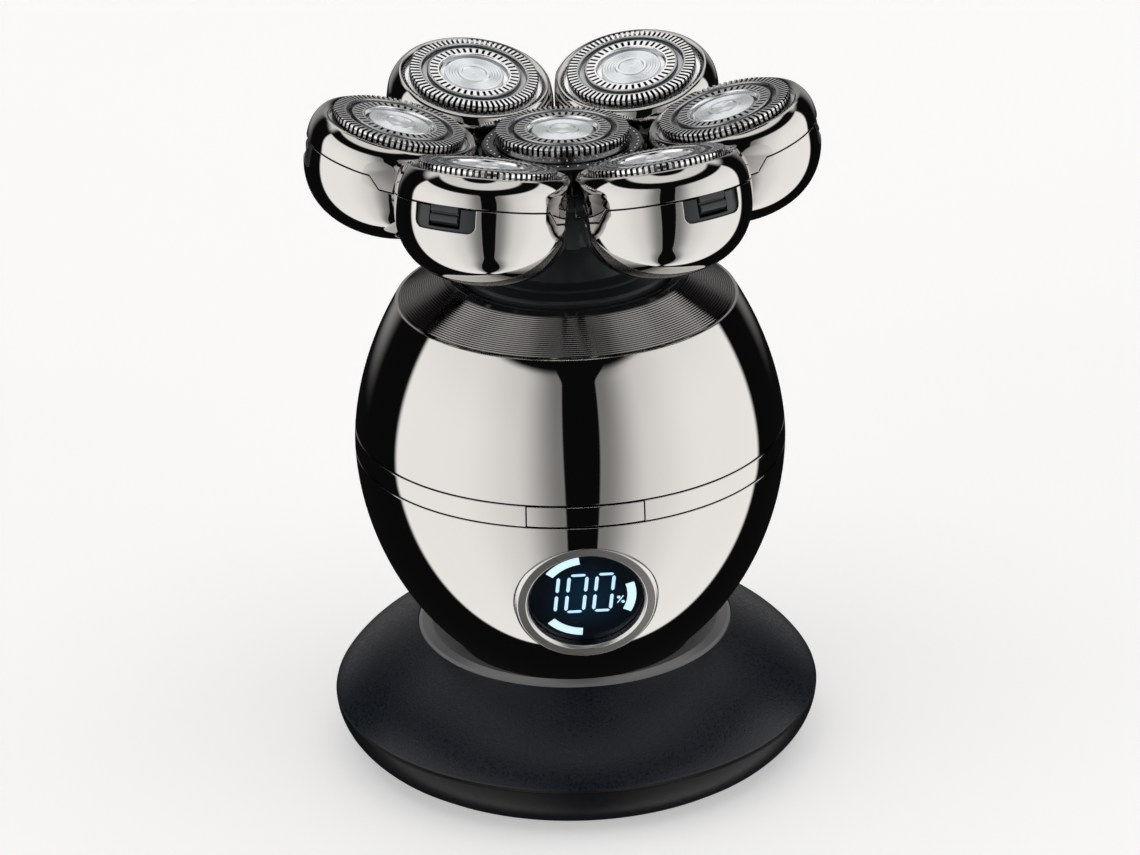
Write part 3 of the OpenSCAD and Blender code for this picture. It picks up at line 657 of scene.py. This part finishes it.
world = bpy.data.worlds.new("studio")
bpy.context.scene.world = world
world.use_nodes = True
t = world.node_tree
t.nodes.clear()
xyz = node(t, "ShaderNodeSeparateXYZ", {0: node(t, "ShaderNodeTexCoord").outputs["Generated"]}).outputs
ahead = calc(t, "MULTIPLY", xyz[1], -1.0)
az = calc(t, "MULTIPLY", calc(t, "ARCTAN2", xyz[0], ahead), 180 / math.pi)
el = calc(t, "MULTIPLY", calc(t, "ARCSINE", xyz[2]), 180 / math.pi)


def add(a, b):
    return calc(t, "ADD", a, b)


def times(a, b):
    return calc(t, "MULTIPLY", a, b)


def window(value, a, b, s):
    """1 from a to b and 0 outside, over a soft edge of half-width s."""
    return times(ramp(t, value, a - s, a + s), ramp(t, value, b - s, b + s, 1.0, 0.0))


# two tall panels in front with a dark gap between them, brighter away from the gap
GAP_AT, GAP_HALF = 1.9, 8.4
wide = add(ramp(t, el, -24, 33, 0.0, 2.3), ramp(t, el, 31, 37, 0.0, 6.0))
wide = add(wide, ramp(t, el, -50, -86, 0.0, 25.0))
off = calc(t, "SUBTRACT", az, add(GAP_AT, times(wide, 0.3)))
off = calc(t, "SUBTRACT", calc(t, "ABSOLUTE", off), add(wide, GAP_HALF))
shade_in = add(ramp(t, off, 1.5, 26, 0.0, 0.50), ramp(t, off, 8, 60, 0.0, 0.28))
shade_in = add(ramp(t, off, -0.5, 0.5, 0.0, 0.22), shade_in)
front = times(times(shade_in, window(az, -107, 112, 2.0)), window(el, -88, 35, 1.5))
front = times(front, ramp(t, el, 38, 5, 0.88, 1.0))
# a light overhead, one high behind for the foils, and a weak one low behind
over = times(window(el, 53, 75, 2), window(az, -122, 122, 6))
back = times(window(el, 38, 84, 6), ramp(t, xyz[1], 0.2, 0.4))
low = times(window(el, -10, 38, 6), ramp(t, xyz[1], 0.72, 0.92))
FRONT, OVER, BEHIND, LOW, AMBIENT = 1.62, 1.25, 1.2, 0.40, 0.006
light = add(add(times(front, FRONT), times(over, OVER)), add(times(back, BEHIND), times(low, LOW)))
light = add(light, AMBIENT)
seen = node(t, "ShaderNodeLightPath").outputs["Is Camera Ray"]
studio = node(t, "ShaderNodeBackground", {0: (1.0, 0.985, 0.97, 1), 1: light}).outputs[0]
pale = node(t, "ShaderNodeBackground", {0: (1, 1, 1, 1), 1: 0.98}).outputs[0]
mix = node(t, "ShaderNodeMixShader", {0: seen, 1: studio, 2: pale}).outputs[0]
t.links.new(mix, node(t, "ShaderNodeOutputWorld").inputs[0])

cam = bpy.data.objects.new("camera", bpy.data.cameras.new("camera"))
bpy.context.scene.collection.objects.link(cam)
# the camera stands a little to the left, looks down and is rolled slightly
AIM, DISTANCE = Vector((0, 0, 0.0501)), 0.5557
a, e, r = math.radians(-3.49), math.radians(24.0), math.radians(1.44)
away = Vector((math.sin(a) * math.cos(e), -math.cos(a) * math.cos(e), math.sin(e)))
side = Vector((math.cos(a), math.sin(a), 0))
up = away.cross(side)
side, up = side * math.cos(r) - up * math.sin(r), side * math.sin(r) + up * math.cos(r)
cam.matrix_world = Matrix((side, up, away)).transposed().to_4x4()
cam.location = AIM + away * DISTANCE
cam.data.lens, cam.data.sensor_width = 116.1, 36
cam.data.clip_start, cam.data.clip_end = 0.05, 20
bpy.context.scene.camera = cam
bpy.context.scene.view_settings.view_transform = "Standard"
